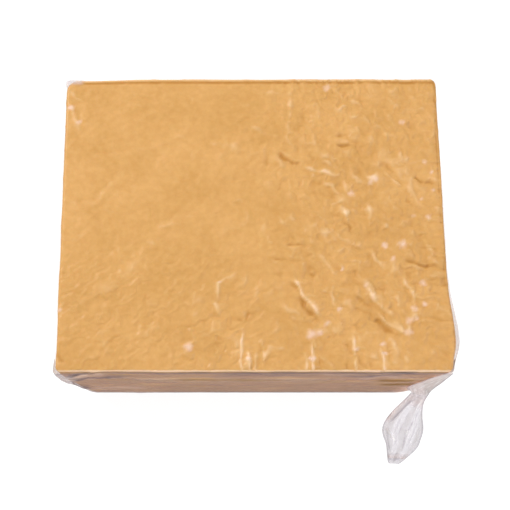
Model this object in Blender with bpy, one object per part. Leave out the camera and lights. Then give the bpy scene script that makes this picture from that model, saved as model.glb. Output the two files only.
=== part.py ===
"""A block of cheddar shrunk into a clear vacuum bag, with the bag's empty end hanging off one corner.

Units are metres. The origin is the centre of the flat base, +X runs along the length, the front faces -Y and
+Z is up. Sizes and places are written in millimetres, and scaled once, where a mesh is shaped.
"""

import math
from collections import namedtuple

import bmesh
import bpy
from mathutils import Vector, noise

MM = 0.001
INCH = 25.4

# The block, in millimetres: the common 40 lb block measures 14 x 11 x 7 inches, and the film adds a little
FILM_ALONG = 1.0
FILM_ACROSS = 2.8
LENGTH = 14 * INCH + FILM_ALONG
DEPTH = 11 * INCH + FILM_ACROSS
HEIGHT = 7 * INCH
CELL = 3.2  # side of the squares that the surface is cut into before it is shaped
TRIANGLES_KEPT = 0.108  # share of those triangles that the finished solid keeps
FLAT_WITHIN = 0.08  # points this close to the floor are put on it, so that the base is one true plane

# Edges and corners
EDGE_RADIUS = 3.6  # top edges
BASE_RADIUS = 9.0  # bottom edges
Corner = namedtuple("Corner", "at_top at_base")
CORNERS = {  # radius in plan, by the corner's side in X and in Y
    (-1, -1): Corner(3.5, 14.0),
    (1, -1): Corner(3.5, 33.0),
    (-1, 1): Corner(4.5, 14.0),
    (1, 1): Corner(6.0, 16.0),
}
SKEW = 1.4  # the far edge sits this much to the left, and the near edge as much to the right
BARREL = 1.6  # how far the sides swell at half height
CROWN = 0.8  # how far the middle of the top stands above its edges

# Film standing off the right side, near the front corner
BULGE = 7.0
BULGE_Y = -113.0
BULGE_REACH_BACK = 38.0
BULGE_REACH_FRONT = 17.0
BULGE_DROP = 90.0  # it fades over this height

# Film standing off the front left edge
EAR = 3.2
EAR_HEIGHT = 138.0
EAR_TALL = 48.0
EAR_REACH = 15.0

# A fold is a ridge, or a groove where rise is negative, along a bowed line. A lip is a groove beside a ridge,
# or a ridge beside a groove, to the left of the line where it is positive.
Fold = namedtuple("Fold", "start end bow width rise lip", defaults=(0.0,))
TOP_FOLDS = [
    Fold((38, -52), (67, -94), -4, 3.2, 1.5),
    Fold((41, -72), (65, -100), -5, 3.6, -2.0),
    Fold((96, -82), (137, -108), -4, 3.6, -1.9, 0.6),
    Fold((101, -62), (124, -93), 2, 3.4, 1.4),
    Fold((134, -33), (178, -46), 1, 2.4, -1.5, -0.5),
    Fold((22, 66), (49, 53), 1, 2.6, -1.4, 0.5),
    Fold((48, 53), (68, 44), 1, 2.6, 1.2),
    Fold((135, 137), (121, 52), -4, 2.8, 1.2, -0.5),
    Fold((121, 53), (140, 31), 1, 2.8, 1.1),
    Fold((36, 133), (37, 67), -4, 2.6, 0.9),
    Fold((140, -50), (148, -86), 5, 2.8, 1.5),
    Fold((61, -33), (83, -55), -2, 2.8, 1.1, 0.5),
    Fold((83, -40), (73, -80), 4, 2.6, 1.0),
    Fold((79, 74), (93, 74), 0, 2.2, -1.8, 0.4),
    Fold((70, -120), (87, -131), -4, 2.8, -1.3),
    Fold((151, 43), (171, 34), -3, 2.6, -1.3),
    Fold((80, 1), (96, -11), 2, 2.6, -1.1),
    Fold((8, -35), (57, -41), 1, 2.8, -0.9),
    Fold((31, -23), (47, -23), 0, 2.4, -1.0),
    Fold((-7, -44), (-35, -64), 0, 2.8, 0.9),
    Fold((-34, -62), (-30, -92), -1, 3.0, 1.2),
    Fold((-19, -92), (2, -88), 2, 2.6, -1.2),
    Fold((-180, 119), (-161, 88), -1, 2.4, 1.1),
    Fold((-176, -92), (-126, -54), 3, 4.0, 0.7, -0.4),
    Fold((-146, -80), (-94, -28), -2, 4.5, 0.8, 0.4),
    Fold((-148, -104), (-116, -62), 2, 4.0, 0.6),
    Fold((-122, -118), (-66, -92), -4, 4.5, 0.7, -0.3),
    Fold((-66, -98), (-36, -62), 3, 3.6, 0.7),
    Fold((-130, -40), (-88, -30), 2, 4.0, 0.5),
]
PLEATS = (-9.5, -2.5, 9.0, 54.0, 91.5, 117.5)  # X of the pleats that run into the near edge
PLEAT_LENGTH = 30.0
PLEAT_WIDTH = 2.2
PLEAT_RISE = 1.4
SIDE_PULLS = 6  # short level folds that run in from the right edge
SIDE_PULL_Y = 10
SIDE_PULL_STEP = 10
SIDE_PULL_LENGTHS = (44, 39, 34)
SIDE_PULL_WIDTH = 2.4
SIDE_PULL_RISE = -0.7
PAST_THE_EDGE = 12  # pulls run on this far, so that they haven't faded out where the edge is
HEM_Y = 136.0  # groove along the far edge, where the film turns down
HEM_WIDTH = 1.3
HEM_RISE = -0.8
FRONT_FOLDS = [  # along the front side, as X and height
    Fold((-170, 118), (170, 114), 2, 3.6, -1.7, 0.5),
    Fold((-176, 160), (-90, 132), 7, 4.0, -1.6, 0.5),
    Fold((-172, 92), (-60, 84), 6, 4.5, 1.3),
    Fold((60, 88), (172, 132), -5, 4.2, 1.5, -0.5),
    Fold((20, 66), (165, 58), -4, 4.5, -1.2),
]

# Loose waviness of the film where nothing named above lies
SWELL_SIZE = 46.0
SWELL_RISE = 0.55
CRINKLE_SIZE = 22.0
CRINKLE_RISE = 0.7
CRINKLE_STRETCH = 1.6  # how much longer than tall the crinkles of the sides are
CALM_SHARE = 0.25  # how much of the waviness the left of the top keeps
CALM_UNTIL = -60.0
BUSY_FROM = 60.0
QUIET_FROM = 14.0  # round the front right edge, where the bag's end leaves the block, the film lies smooth
QUIET_UNTIL = 40.0

# The bag's end: a web down the front right edge, a neck at the floor and a leaf lying in front of the block.
# Each ring is a flat oval. turn is the way that it runs, in degrees round from +X.
Ring = namedtuple("Ring", "centre turn half_width half_thick")
END_RINGS = [
    Ring((178.6, -142.7, 175.0), -8, 1.3, 0.7),
    Ring((177.0, -143.4, 163.0), -4, 2.6, 0.9),
    Ring((173.9, -143.9, 146.0), -2, 5.0, 1.0),
    Ring((171.9, -144.1, 124.0), -1, 7.0, 1.1),
    Ring((169.6, -144.2, 100.0), -1, 9.4, 1.1),
    Ring((169.2, -144.2, 74.0), -1, 10.8, 1.1),
    Ring((171.2, -144.0, 50.0), -2, 10.2, 1.1),
    Ring((174.2, -143.9, 28.0), -5, 9.4, 1.2),
    Ring((175.0, -144.6, 13.0), -14, 9.2, 1.4),
    Ring((173.4, -147.8, 6.0), -22, 9.2, 1.6),
    Ring((169.6, -154.0, 4.5), -18, 11.4, 1.6),
    Ring((163.8, -164.0, 4.7), -12, 16.2, 1.5),
    Ring((159.9, -174.0, 5.2), -10, 20.3, 1.4),
    Ring((157.6, -182.0, 5.2), -8, 21.2, 1.4),
    Ring((157.0, -188.8, 5.0), -5, 19.4, 1.4),
    Ring((156.9, -195.4, 4.7), -5, 17.0, 1.4),
    Ring((154.4, -202.2, 4.4), -5, 13.8, 1.3),
    Ring((151.4, -207.9, 4.0), -4, 10.4, 1.3),
    Ring((149.0, -212.6, 3.5), -3, 7.6, 1.2),
    Ring((147.9, -214.9, 3.1), -5, 5.0, 1.0),
]
PLEATS_ACROSS_LEAF = 2.5
LEAF_PLEAT_RISE = 2.0
RINGS_BETWEEN = 2
RING_POINTS = 26

CHEDDAR_COLOUR = (0.76, 0.41, 0.13, 1.0)
FILM_COLOUR = (0.80, 0.78, 0.82, 1.0)


def clear_scene():
    for thing in list(bpy.data.objects):
        bpy.data.objects.remove(thing)


def finish(name, colour, roughness):
    """A plain surface finish with the part's colour."""
    material = bpy.data.materials.new(name)
    material.use_nodes = True
    shader = material.node_tree.nodes["Principled BSDF"]
    shader.inputs["Base Color"].default_value = colour
    shader.inputs["Roughness"].default_value = roughness
    shader.inputs["Metallic"].default_value = 0.0
    return material


def place(name, mesh, material):
    mesh.materials.append(material)
    thing = bpy.data.objects.new(name, mesh)
    bpy.context.scene.collection.objects.link(thing)
    return thing


def smooth(t):
    """0 below 0, 1 above 1, and an S-shaped rise between them."""
    t = min(1.0, max(0.0, t))
    return t * t * (3 - 2 * t)


def bell(distance, width):
    return math.exp(-((distance / width) ** 2))


def fold_height(fold, x, y):
    """How far a fold lifts the film at a place on its face."""
    run_x, run_y = fold.end[0] - fold.start[0], fold.end[1] - fold.start[1]
    length = math.hypot(run_x, run_y)
    along = ((x - fold.start[0]) * run_x + (y - fold.start[1]) * run_y) / length**2
    if not 0 < along < 1:
        return 0.0
    across = ((y - fold.start[1]) * run_x - (x - fold.start[0]) * run_y) / length
    across -= fold.bow * 4 * along * (1 - along)
    if abs(across) > 5 * fold.width:
        return 0.0
    fade = smooth(along / 0.2) * smooth((1 - along) / 0.2)
    side = math.copysign(1.8 * fold.width, fold.lip)
    lip = -abs(fold.lip) * bell(across - side, fold.width)
    return fold.rise * fade * (bell(across, fold.width) + lip)


def top_folds():
    """Every named fold of the top face, with the pleats and the pulls at the right edge worked out."""
    near, right = -DEPTH / 2, LENGTH / 2
    folds = list(TOP_FOLDS)
    for x in PLEATS:
        start, end = (x, near + PLEAT_LENGTH), (x, near - PLEAT_LENGTH / 2)
        folds.append(Fold(start, end, 0, PLEAT_WIDTH, PLEAT_RISE))
    for number in range(SIDE_PULLS):
        y = SIDE_PULL_Y - number * SIDE_PULL_STEP
        start = (right - SIDE_PULL_LENGTHS[number % len(SIDE_PULL_LENGTHS)], y + 3)
        folds.append(Fold(start, (right + PAST_THE_EDGE, y - 2), 1, SIDE_PULL_WIDTH, SIDE_PULL_RISE))
    return folds


def waviness(x, y, z, level_share):
    """Broad swells and sharper crinkles of the film. level_share is how much the crinkles run level."""
    swell = noise.noise(Vector((x, y, z)) / SWELL_SIZE)
    stretch = 1 + CRINKLE_STRETCH * level_share
    spot = Vector((x / stretch, y / stretch, z * stretch)) / CRINKLE_SIZE
    crease = 1 - 2 * abs(noise.noise(spot + Vector((7.5, 1.9, 4.4))))
    return SWELL_RISE * swell + CRINKLE_RISE * max(0.0, crease) ** 3


def fillet(inset, drop, radius):
    """Rounds a square edge: inset and drop are a point's distances from it on its two faces."""
    if inset >= radius or drop >= radius:
        return inset, drop
    a, b = radius - inset, radius - drop
    shrink = radius / math.hypot(a, b)
    return radius - a * shrink, radius - b * shrink


def corner_radius(x, y, height):
    corner = CORNERS[(1 if x > 0 else -1, 1 if y > 0 else -1)]
    return corner.at_top + (corner.at_base - corner.at_top) * max(0.0, 1 - height / HEIGHT) ** 1.3


def round_in_plan(x, y, half_x, half_y, radius):
    """Turns a square corner of the outline, and what lies inside it, into a round one."""
    core_x = max(-half_x + radius, min(half_x - radius, x))
    core_y = max(-half_y + radius, min(half_y - radius, y))
    dx, dy = x - core_x, y - core_y
    if not (dx and dy):
        return x, y
    shrink = max(abs(dx), abs(dy)) / math.hypot(dx, dy)
    return core_x + dx * shrink, core_y + dy * shrink


def block_point(x, y, z):
    """Where a point of the plain box goes in the rounded, slightly swollen block."""
    half_x, half_y = LENGTH / 2, DEPTH / 2
    inset = min(half_x - abs(x), half_y - abs(y))
    above = z > HEIGHT / 2
    radius = EDGE_RADIUS if above else BASE_RADIUS
    new_inset, drop = fillet(inset, HEIGHT - z if above else z, radius)
    height = HEIGHT - drop if above else drop
    if new_inset > inset:
        x *= (half_x - new_inset) / (half_x - inset)
        y *= (half_y - new_inset) / (half_y - inset)
    x, y = round_in_plan(x, y, half_x, half_y, corner_radius(x, y, height))
    swell = 1 + BARREL * math.sin(math.pi * height / HEIGHT) / half_x
    crown = CROWN * smooth(height / HEIGHT * 4 - 3) * (1 - (x / half_x) ** 2) * (1 - (y / half_y) ** 2)
    return x * swell - SKEW * y / half_y, y * swell, height + crown


def bulge_at(x, y, z):
    """How far the film stands off to the right, just behind the front right corner."""
    if x < LENGTH / 2 - 3 * EDGE_RADIUS:
        return 0.0
    reach = BULGE_REACH_BACK if y > BULGE_Y else BULGE_REACH_FRONT
    side = smooth((x - LENGTH / 2 + 3 * EDGE_RADIUS) / (3 * EDGE_RADIUS))
    return BULGE * bell(y - BULGE_Y, reach) * side * smooth(1 - (HEIGHT - z) / BULGE_DROP)


def ear_at(x, y, z):
    """How far the film stands off the front left edge."""
    away = math.hypot(x + LENGTH / 2, y + DEPTH / 2)
    return EAR * bell(away, EAR_REACH) * bell(z - EAR_HEIGHT, EAR_TALL)


def relief_at(x, y, z, up, folds):
    """Height of the film's folds over the smooth block. up is the upward part of the surface's direction."""
    to_front_right = math.hypot(x - LENGTH / 2, y + DEPTH / 2)
    quiet = smooth((to_front_right - QUIET_FROM) / (QUIET_UNTIL - QUIET_FROM))
    if up > 0.6:
        hem = HEM_RISE * bell(y - HEM_Y, HEM_WIDTH)
        named = sum(fold_height(fold, x, y) for fold in folds)
        busy = CALM_SHARE + (1 - CALM_SHARE) * smooth((x - CALM_UNTIL) / (BUSY_FROM - CALM_UNTIL))
        return named + hem + busy * waviness(x, y, z, 0.0)
    steady = quiet * smooth((z - 3) / 24)
    named = sum(fold_height(fold, x, z) for fold in FRONT_FOLDS) if y < -DEPTH / 2 + 2 * EDGE_RADIUS else 0.0
    return steady * (named + waviness(x, y, z, 0.7))


def make_block(material):
    """The block with its clinging film: a box cut into squares, rounded, then raised into folds."""
    mesh_work = bmesh.new()
    bmesh.ops.create_cube(mesh_work, size=1)
    for axis, size in ((0, LENGTH), (1, DEPTH), (2, HEIGHT)):
        for vertex in mesh_work.verts:
            vertex.co[axis] *= size
        normal = Vector([float(axis == other) for other in range(3)])
        count = round(size / CELL)
        for number in range(1, count):
            everything = mesh_work.verts[:] + mesh_work.edges[:] + mesh_work.faces[:]
            spot = normal * (number / count - 0.5) * size
            bmesh.ops.bisect_plane(mesh_work, geom=everything, dist=1e-4, plane_co=spot, plane_no=normal)
    for vertex in mesh_work.verts:
        x, y, z = vertex.co
        vertex.co = block_point(x, y, z + HEIGHT / 2)
    mesh_work.normal_update()
    folds = top_folds()
    moves = []
    for vertex in mesh_work.verts:
        x, y, z = vertex.co
        up = vertex.normal.z
        lift = 0.0 if up < -0.3 else relief_at(x, y, z, up, folds)
        ear = ear_at(x, y, z)
        moves.append(vertex.normal * lift + Vector((bulge_at(x, y, z) - ear, -ear / 2, 0)))
    for vertex, move in zip(mesh_work.verts, moves):
        vertex.co = (vertex.co + move) * MM
    mesh = bpy.data.meshes.new("cheddar_block")
    mesh_work.to_mesh(mesh)
    mesh_work.free()
    block = place("cheddar_block", mesh, material)
    thin_out = block.modifiers.new("Thin out the flat parts", "DECIMATE")
    thin_out.ratio = TRIANGLES_KEPT
    thinned = block.evaluated_get(bpy.context.evaluated_depsgraph_get())
    block.data = bpy.data.meshes.new_from_object(thinned)
    block.modifiers.clear()
    for vertex in block.data.vertices:
        if vertex.co.z < FLAT_WITHIN * MM:
            vertex.co.z = 0.0
    return block


def between(a, b, c, d, t):
    """A smooth curve from b to c, with a and d as their neighbours."""
    return 0.5 * (2 * b + (c - a) * t + (2 * a - 5 * b + 4 * c - d) * t**2 + (3 * (b - c) + d - a) * t**3)


def finer_rings(rings):
    """The rings with RINGS_BETWEEN more between each pair."""
    values = [(*ring.centre, ring.turn, ring.half_width, ring.half_thick) for ring in rings]
    steps = RINGS_BETWEEN + 1
    found = []
    for number in range(len(values) - 1):
        near = [values[max(0, min(len(values) - 1, number + offset))] for offset in (-1, 0, 1, 2)]
        for step in range(steps):
            row = [between(*column, step / steps) for column in zip(*near)]
            found.append(Ring(tuple(row[:3]), *row[3:]))
    return found + [rings[-1]]


def leaf_share(ring):
    """0 on the web and 1 on the part that lies flat."""
    return smooth((30 - ring.centre[2]) / 24)


def ring_points(rings, number):
    """The outline of one ring: a flat oval whose two long sides share the same pleats."""
    ring = rings[number]
    ahead = rings[min(number + 1, len(rings) - 1)]
    behind = rings[max(number - 1, 0)]
    run = (Vector(ahead.centre) - Vector(behind.centre)).normalized()
    turn = math.radians(ring.turn)
    across = Vector((math.cos(turn), math.sin(turn), 0))
    up = run.cross(across).normalized()
    pleat_size = LEAF_PLEAT_RISE * leaf_share(ring) * smooth(ring.half_width / 22)
    points = []
    for step in range(RING_POINTS):
        angle = 2 * math.pi * step / RING_POINTS
        share = math.cos(angle)
        pleat = pleat_size * math.cos(PLEATS_ACROSS_LEAF * math.pi * share + 0.25 * number)
        sideways = across * ring.half_width * share
        points.append(Vector(ring.centre) + sideways + up * (ring.half_thick * math.sin(angle) + pleat))
    return points


def make_bag_end(material):
    """The empty end of the bag: rings joined into one closed, pleated skin."""
    rings = finer_rings(END_RINGS)
    mesh_work = bmesh.new()
    loops = []
    for number in range(len(rings)):
        loops.append([mesh_work.verts.new(point * MM) for point in ring_points(rings, number)])
    for first, second in zip(loops, loops[1:]):
        for step in range(RING_POINTS):
            following = (step + 1) % RING_POINTS
            mesh_work.faces.new((first[step], first[following], second[following], second[step]))
    mesh_work.faces.new(loops[0])
    mesh_work.faces.new(loops[-1])
    bmesh.ops.recalc_face_normals(mesh_work, faces=mesh_work.faces)
    bmesh.ops.triangulate(mesh_work, faces=[face for face in mesh_work.faces if len(face.verts) > 4])
    mesh = bpy.data.meshes.new("film_bag_end")
    mesh_work.to_mesh(mesh)
    mesh_work.free()
    return place("film_bag_end", mesh, material)


def main():
    clear_scene()
    make_block(finish("cheddar", CHEDDAR_COLOUR, 0.45))
    make_bag_end(finish("clear film", FILM_COLOUR, 0.15))


main()
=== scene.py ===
"""A block of orange cheddar in a clear vacuum bag, dressed for the camera around its solids.

Sizes and places are in millimetres from the centre of the block's flat base, until a mesh is written.
"""

import itertools
import math
from collections import namedtuple

import bmesh
import bpy
import numpy as np
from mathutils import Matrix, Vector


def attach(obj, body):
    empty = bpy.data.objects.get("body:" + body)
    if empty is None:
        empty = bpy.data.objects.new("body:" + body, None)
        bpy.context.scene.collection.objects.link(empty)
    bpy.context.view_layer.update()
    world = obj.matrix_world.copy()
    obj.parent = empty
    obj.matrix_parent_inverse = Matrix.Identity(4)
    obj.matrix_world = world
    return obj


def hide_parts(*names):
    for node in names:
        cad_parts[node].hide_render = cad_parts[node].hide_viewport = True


MM = 0.001
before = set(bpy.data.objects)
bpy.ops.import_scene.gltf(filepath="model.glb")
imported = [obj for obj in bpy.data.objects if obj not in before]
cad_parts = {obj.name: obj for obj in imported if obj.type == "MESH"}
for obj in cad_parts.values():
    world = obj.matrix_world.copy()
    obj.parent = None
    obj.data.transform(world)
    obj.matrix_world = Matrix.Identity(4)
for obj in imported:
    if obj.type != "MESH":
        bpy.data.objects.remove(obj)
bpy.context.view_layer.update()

# The block, as its solid has it
LENGTH, DEPTH, HEIGHT = 356.6, 282.2, 177.8
HALF = np.array([LENGTH / 2, DEPTH / 2])
GIRTH = 2 * (LENGTH + DEPTH)
SKEW = 1.4  # the far edge sits this much to the left, and the near edge as much to the right
BARREL = 1.6  # how far the sides swell at half height
CROWN = 0.8  # how far the middle of the top stands above its edges
Skin = namedtuple("Skin", "inset top_radius base_radius corners_at_top corners_at_base")
# Corner radii go front left, front right, back left, back right.
FILM_SKIN = Skin(0.0, 2.4, 9.0, (2.5, 3.0, 3.0, 5.0), (13.5, 32.0, 13.5, 15.5))
CHEESE_SKIN = Skin(0.8, 2.6, 9.5, (5.0, 5.0, 12.0, 7.0), (14.5, 33.0, 14.5, 16.5))

CHEESE_PRINT = 0.85  # the share of the film's folds that is printed into the cheese
CHEESE_LIFT = 0.3  # keeps the cheese's underside off the film's
FRONT_STRIP = 12.0  # places this close to the front side belong to it

# How finely the two skins are cut: the side of a square, and the rows from the base to the top
Cut = namedtuple("Cut", "cell rows top_rows base_rows")
FILM_CUT = Cut(1.5, 58, 5, 4)
CHEESE_CUT = Cut(1.3, 40, 4, 3)

# Film standing off the right side, near the front corner
BULGE_FILM = 7.0
BULGE_CHEESE = 4.6
BULGE_Y = -113.0
BULGE_REACH_BACK = 38.0
BULGE_REACH_FRONT = 17.0
BULGE_DROP = 90.0

# Film standing off the front left edge
EAR_FILM = 3.2
EAR_CHEESE = 0.4
EAR_HEIGHT = 138.0
EAR_TALL = 48.0
EAR_REACH = 15.0

# A fold is a ridge along a line of a few points, or a groove where rise is negative, with a lip of the other
# kind beside it: on the left of its line where lip is positive and on the right where it is negative.
Fold = namedtuple("Fold", "line width rise lip", defaults=(0.0,))
TOP_FOLDS = [
    # The long slanting gathers in front of the middle
    Fold(((37, -50), (41, -60), (46, -72), (56, -82), (62, -92)), 1.9, 1.40, -0.5),
    Fold(((42, -70), (45, -78), (53, -89), (64, -99)), 2.3, -1.51),
    Fold(((90, -70), (101, -77), (108, -84)), 1.9, -0.86, 0.4),
    Fold(((96, -82), (110, -92), (121, -103), (139, -109)), 2.3, -1.40, 0.5),
    Fold(((102, -60), (112, -78), (122, -85), (131, -91)), 1.9, 1.08),
    Fold(((60, -30), (66, -38), (75, -50), (81, -55)), 1.8, 0.86, 0.4),
    Fold(((75, -57), (72, -68), (74, -79), (79, -86)), 1.8, 0.97, -0.3),
    Fold(((84, -36), (82, -47), (88, -58)), 1.6, 0.65),
    Fold(((132, -43), (140, -60), (147, -72), (148, -88)), 1.9, 1.19, -0.3),
    Fold(((147, -86), (143, -96), (140, -108)), 1.9, 1.08, 0.4),
    Fold(((134, -35), (154, -42), (179, -46)), 1.8, -1.19, -0.5),
    Fold(((122, -104), (127, -116), (130, -128)), 1.9, 0.76),
    # The creases behind the middle
    Fold(((21, 67), (30, 60), (46, 54)), 1.8, -1.30, 0.5),
    Fold(((44, 54), (63, 48), (86, 42)), 1.8, 1.08, -0.4),
    Fold(((78, 74), (93, 74)), 1.6, -1.62, 0.6),
    Fold(((35, 132), (37, 110), (34, 92), (33, 82), (38, 68)), 1.8, 0.76, -0.3),
    Fold(((28, 38), (22, 28)), 1.6, -0.76, 0.3),
    Fold(((134, 137), (133, 119), (131, 104), (126, 82), (121, 62), (118, 50)), 2.7, 0.68, -0.4),
    Fold(((119, 53), (112, 40), (108, 30)), 2.6, 0.97),
    Fold(((122, 50), (130, 40), (142, 31)), 1.8, 0.97, 0.4),
    Fold(((125, 54), (133, 46)), 1.6, -0.97),
    Fold(((149, 45), (158, 38), (173, 34)), 1.8, -1.19, 0.4),
    Fold(((143, 111), (156, 110), (169, 112)), 1.8, 0.86, -0.4),
    Fold(((72, 6), (75, 15), (86, 22)), 1.6, 0.76, -0.3),
    Fold(((107, 20), (110, -1)), 1.8, 0.76),
    Fold(((81, 1), (94, -10)), 1.8, -0.76, 0.3),
    Fold(((92, 128), (99, 112), (97, 98)), 1.8, 0.54),
    Fold(((58, 122), (63, 104), (72, 96)), 1.8, 0.43),
    # Small hooks in the middle
    Fold(((36, 9), (36, 3), (40, 0)), 1.5, 0.76, 0.5),
    Fold(((14, -14), (15, -20), (20, -22)), 1.5, 0.76, 0.5),
    Fold(((31, -23), (48, -23)), 1.5, -0.86, -0.3),
    Fold(((9, -36), (30, -38), (56, -41)), 1.6, -0.76, -0.3),
    # Left of the middle, in front
    Fold(((-6, -44), (-20, -54), (-31, -61), (-33, -78), (-28, -96)), 1.9, 0.97, -0.3),
    Fold(((-19, -90), (-8, -95), (-3, -87), (4, -89)), 1.8, -0.97, 0.3),
    Fold(((-66, -96), (-52, -78), (-37, -64)), 4.1, 0.75, -0.3),
    Fold(((-176, -91), (-160, -80), (-143, -68), (-128, -57)), 4.1, 0.75, -0.3),
    Fold(((-145, -80), (-122, -56), (-96, -31)), 4.3, 0.8, 0.3),
    Fold(((-147, -103), (-134, -84), (-118, -66)), 3.8, 0.65, -0.3),
    Fold(((-106, -112), (-88, -102), (-68, -97)), 3.8, 0.6, 0.3),
    Fold(((-130, -40), (-112, -35), (-92, -31)), 3.8, 0.5),
    Fold(((-142, -109), (-126, -101)), 1.9, 0.54),
    Fold(((-176, -121), (-172, -129), (-167, -134)), 1.9, -1.08, -0.5),
    # The back left corner
    Fold(((-177, 119), (-170, 105), (-164, 90)), 1.8, 0.97, 0.5),
    Fold(((-176, 131), (-168, 121), (-158, 116)), 1.8, 0.76, -0.5),
    Fold(((-172, 96), (-158, 83)), 1.9, 0.54),
]
# Pleats that run into the near edge: X, how far back each starts, rise
PLEATS = [
    (-10, 44, 1.6), (-3, 20, 1.3), (2, 23, 1.4), (10, 34, 0.8), (48, 22, 1.1), (54, 27, 1.9),
    (60, 16, -1.0), (84, 14, -1.0), (92, 40, 1.8), (105, 12, 0.7), (118, 27, 2.1), (123, 30, -1.1),
]
PLEAT_WIDTH = 1.2
PLEAT_LEAN = 3.0

# Short level pulls in from the right edge
PULLS_Y = np.arange(-96, 60, 8.5)
PULL_REACH = (14, 44)
PULL_WIDTH = (0.9, 1.3)
PULL_RISE = (-0.6, -0.2)

FRONT_FOLDS = [  # along the front, as X and height
    Fold(
        ((-173, 142), (-160, 128), (-148, 142), (-134, 131), (-95, 128), (-70, 128), (-42, 130)),
        3.6, -1.3, 0.7,
    ),
    Fold(((-50, 129), (-20, 126), (10, 128), (60, 125), (120, 126), (146, 128)), 3.4, -1.3, 0.6),
    Fold(((138, 137), (160, 145), (180, 163)), 3.4, -0.82, 0.6),
    Fold(((60, 97), (108, 101), (150, 97), (170, 106)), 3.8, -0.82, 0.5),
    Fold(((-176, 166), (-150, 160), (-132, 172), (-112, 176)), 3.8, -0.87, 0.9),
    Fold(((-175, 150), (-158, 152), (-140, 158), (-118, 160)), 3.8, -0.72, -0.8),
    Fold(((-172, 90), (-158, 68), (-142, 74)), 4.2, -0.77, 0.8),
    Fold(((-168, 112), (-146, 108), (-112, 116)), 4.6, 0.63, -0.6),
    Fold(((175, 168), (150, 156), (118, 152), (80, 157)), 4.2, -0.68, -0.7),
    Fold(((172, 132), (140, 118), (96, 114), (54, 118)), 5.0, 0.63, -0.7),
    Fold(((40, 158), (76, 150), (104, 153)), 4.2, -0.58, 0.5),
    Fold(((-60, 158), (-20, 153), (30, 157)), 4.6, -0.43, 0.4),
    Fold(((-100, 84), (-20, 74), (70, 80), (150, 70)), 5.0, -0.48, 0.5),
    Fold(((-60, 40), (30, 34), (120, 42)), 5.0, 0.4),
]

# Smaller folds, drawn at random from a seed: how many, seed, lengths, widths and rises
Stray = namedtuple("Stray", "count seed lengths widths rises")
TOP_STRAYS = [
    Stray(190, 11, (18, 60), (2.8, 4.8), (0.35, 1.0)),
    Stray(300, 12, (12, 40), (1.7, 2.6), (0.18, 0.54)),
    Stray(120, 13, (5, 15), (1.0, 1.5), (0.1, 0.25)),
]
SOFT_FROM = 2.7  # folds this wide are soft swellings, and leave no sharp line
SIDE_STRAY = Stray(260, 5, (20, 100), (2.0, 4.4), (0.2, 0.8))

BUSY_LEAST = 0.34  # how wrinkled the calmest part of the top is, where 1 is the most

# Broad swells, crumpling, gathers that run one way, and fine crinkle of the film, as size and rise
SWELL = (44.0, 0.5)
CRUMPLE = (14.0, 0.45)
GATHER = ((44.0, 8.0, 44.0), 1.15)
GATHER_RIGHT = -52.0  # the way that the gathers run, right of the middle and at the front left
GATHER_LEFT = 36.0
CRINKLE = (5.2, 0.07)
WANDER = (9.0, 1.6)  # how much the folds wander from their lines
JITTER = (3.2, 0.35)
HEM_Y = 137.2  # groove along the far edge, where the film turns down
HEM_X = 174.6  # a fainter one along the right edge
HEM_WIDTH = 1.1
HEM_RISE = -1.4
HEM_STAND = 1.7  # how far the bag stands off the far edge

# Air under the film, where it looks milky: X, Y, radius, strength
AIR_POCKETS = [
    (-58, -118, 4.2, 1.0), (53, -107, 5.0, 0.8), (60, -106, 3.6, 0.6), (54, -129, 2.6, 0.9),
    (-3, -129, 1.8, 0.9), (68, -97, 3.4, 0.5), (79, -85, 2.4, 0.8), (114, 40, 3.6, 0.9),
    (110, 36, 2.6, 0.6), (92, 26, 3.2, 0.9), (71, 132, 3.4, 0.6), (142, 97, 2.8, 0.6),
    (164, 3, 2.4, 0.7), (169, 29, 2.2, 0.6), (168, 47, 2.4, 0.7), (162, 57, 1.8, 0.6),
    (158, 21, 2.0, 0.6), (150, 5, 2.2, 0.4), (122, -24, 3.2, 0.9), (138, -23, 4.2, 0.8),
    (129, -36, 2.8, 0.8), (156, -60, 3.0, 0.8), (157, -79, 2.8, 0.9), (142, -94, 3.6, 0.6),
    (141, -105, 3.4, 0.7), (147, -83, 3.0, 0.8), (148, -92, 2.8, 0.6), (-30, -59, 1.6, 0.6),
    (-174, 112, 3.2, 0.8), (-166, 97, 2.8, 0.8), (-175, -85, 2.0, 0.8), (83, -47, 1.8, 0.6),
    (104, -62, 2.2, 0.5), (118, -124, 2.2, 0.9), (93, -120, 2.0, 0.7), (118, -116, 2.0, 0.8),
]
WEB_AT_BASE = 150.0  # X from where the film spans the front right corner, at the floor

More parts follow.
